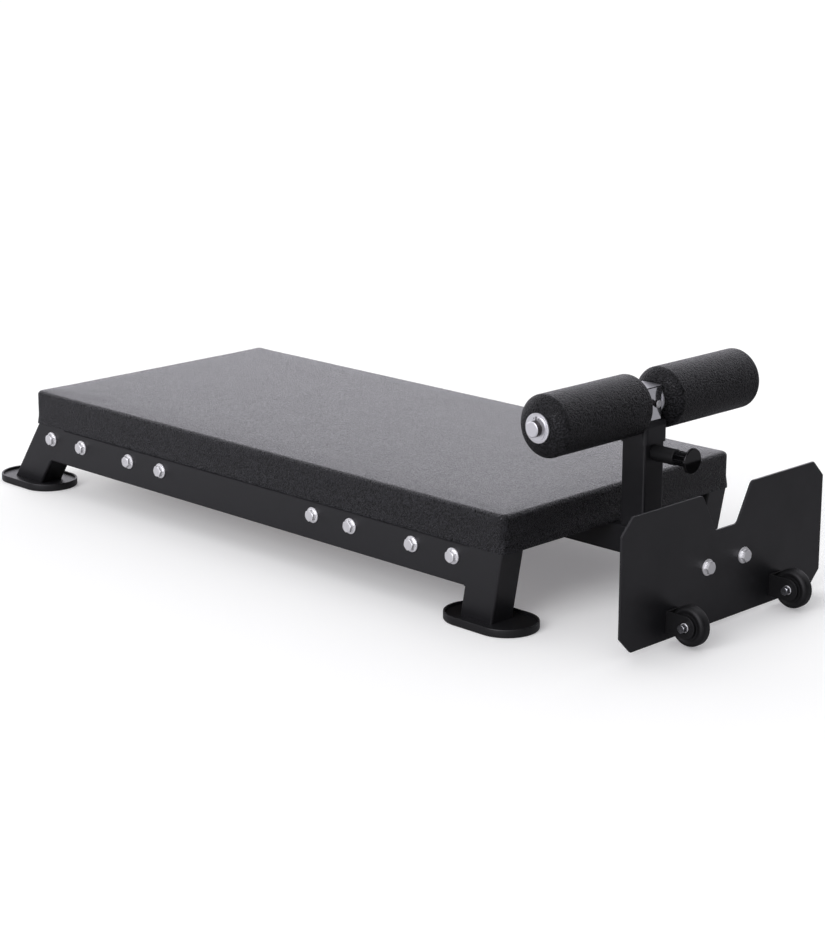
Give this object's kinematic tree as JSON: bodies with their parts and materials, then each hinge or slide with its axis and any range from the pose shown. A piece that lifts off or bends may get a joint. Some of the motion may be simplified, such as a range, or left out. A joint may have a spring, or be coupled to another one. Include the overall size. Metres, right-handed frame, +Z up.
{
  "type": "glute ham developer",
  "caption": "Low floor bench for kneeling hamstring and glute work: a long flat pad on a splayed steel frame, height-adjustable ankle rollers on a post, a foot plate and transport wheels.",
  "frame": {"origin": "on the floor, in the middle of the whole bench seen from above", "axes": "+X along the bench from the pad's head end to the foot plate and wheels, +Y across it to the side away from the picture's near rail, +Z up"},
  "size_m": [1.5972, 0.6138, 0.3793],
  "materials": {
    "frame_paint": "matte black powder coat",
    "plate_paint": "fine satin black powder coat",
    "zinc_steel": "bright zinc plating",
    "spring_steel": "polished steel",
    "cup_rubber": "moulded matte rubber",
    "bushing_plastic": "moulded nylon, fine texture",
    "pad_cover": "fine-grained black synthetic leather over foam",
    "board_plywood": "raw birch plywood",
    "tube_chrome": "bright chrome plating",
    "shaft_chrome": "satin chrome plating",
    "roller_cover": "grained black synthetic leather over foam",
    "sleeve_plastic": "moulded nylon",
    "knob_plastic": "glossy moulded plastic",
    "tyre_rubber": "smooth moulded rubber",
    "hub_plastic": "moulded plastic"
  },
  "bodies": {
    "frame": {"rail_near": "frame_paint", "rail_far": "frame_paint", "head_leg_near": "frame_paint", "head_leg_far": "frame_paint", "foot_leg_near": "frame_paint", "foot_leg_far": "frame_paint", "head_cup_near": "cup_rubber", "head_cup_far": "cup_rubber", "foot_cup_near": "cup_rubber", "foot_cup_far": "cup_rubber", "head_cross_member": "frame_paint", "second_cross_member": "frame_paint", "third_cross_member": "frame_paint", "foot_cross_member": "frame_paint", "rail_bolts": "zinc_steel", "rail_washers": "zinc_steel", "rail_nuts": "zinc_steel", "centre_beam": "frame_paint", "beam_bolts": "zinc_steel", "beam_washers": "zinc_steel", "beam_nuts": "zinc_steel", "foot_plate": "plate_paint", "plate_bolts": "zinc_steel", "plate_washers": "zinc_steel", "plate_nuts": "zinc_steel", "post": "frame_paint", "post_bushing": "bushing_plastic", "pin_barrel": "frame_paint", "pin_spring": "spring_steel", "wheel_bracket_near": "frame_paint", "wheel_bracket_far": "frame_paint", "axle_bolts": "zinc_steel", "axle_washers": "zinc_steel", "axle_nuts": "zinc_steel", "pad_cushion": "pad_cover", "pad_board": "board_plywood", "pad_tee_nuts": "zinc_steel", "pad_bolts": "zinc_steel"},
    "roller_head": {"lift_tube": "tube_chrome", "lift_tube_cap": "tube_chrome", "roller_shaft": "shaft_chrome", "shaft_lock_screw": "tube_chrome", "shaft_lock_nut": "zinc_steel", "inner_washers": "shaft_chrome", "outer_washers": "shaft_chrome", "retaining_rings": "zinc_steel"},
    "roller_near": {"roller_foam_near": "roller_cover", "roller_sleeve_near": "sleeve_plastic"},
    "roller_far": {"roller_foam_far": "roller_cover", "roller_sleeve_far": "sleeve_plastic"},
    "pull_pin": {"pin_plunger": "spring_steel", "pin_knob": "knob_plastic"},
    "wheel_near": {"tyre_near": "tyre_rubber", "hub_near": "hub_plastic"},
    "wheel_far": {"tyre_far": "tyre_rubber", "hub_far": "hub_plastic"}
  },
  "joints": [
    {"name": "roller_head_height", "type": "slide", "parent": "frame", "child": "roller_head", "axis": [0, 0, 1], "range_m": [0, 0.09]},
    {"name": "pull_pin_slide", "type": "slide", "parent": "frame", "child": "pull_pin", "axis": [1, 0, 0], "range_m": [0, 0.008], "stiffness_N_per_m": 1000, "springref_m": -0.01, "deforming": ["pin_spring"]},
    {"name": "roller_near_spin", "type": "hinge", "parent": "roller_head", "child": "roller_near", "pos_m": [0.55929, 0, 0.3291], "axis": [0, 1, 0], "continuous": true},
    {"name": "roller_far_spin", "type": "hinge", "parent": "roller_head", "child": "roller_far", "pos_m": [0.55929, 0, 0.3291], "axis": [0, 1, 0], "continuous": true},
    {"name": "wheel_near_spin", "type": "hinge", "parent": "frame", "child": "wheel_near", "pos_m": [0.76664, -0.13, 0.037], "axis": [0, 1, 0], "continuous": true},
    {"name": "wheel_far_spin", "type": "hinge", "parent": "frame", "child": "wheel_far", "pos_m": [0.76664, 0.13, 0.037], "axis": [0, 1, 0], "continuous": true}
  ]
}
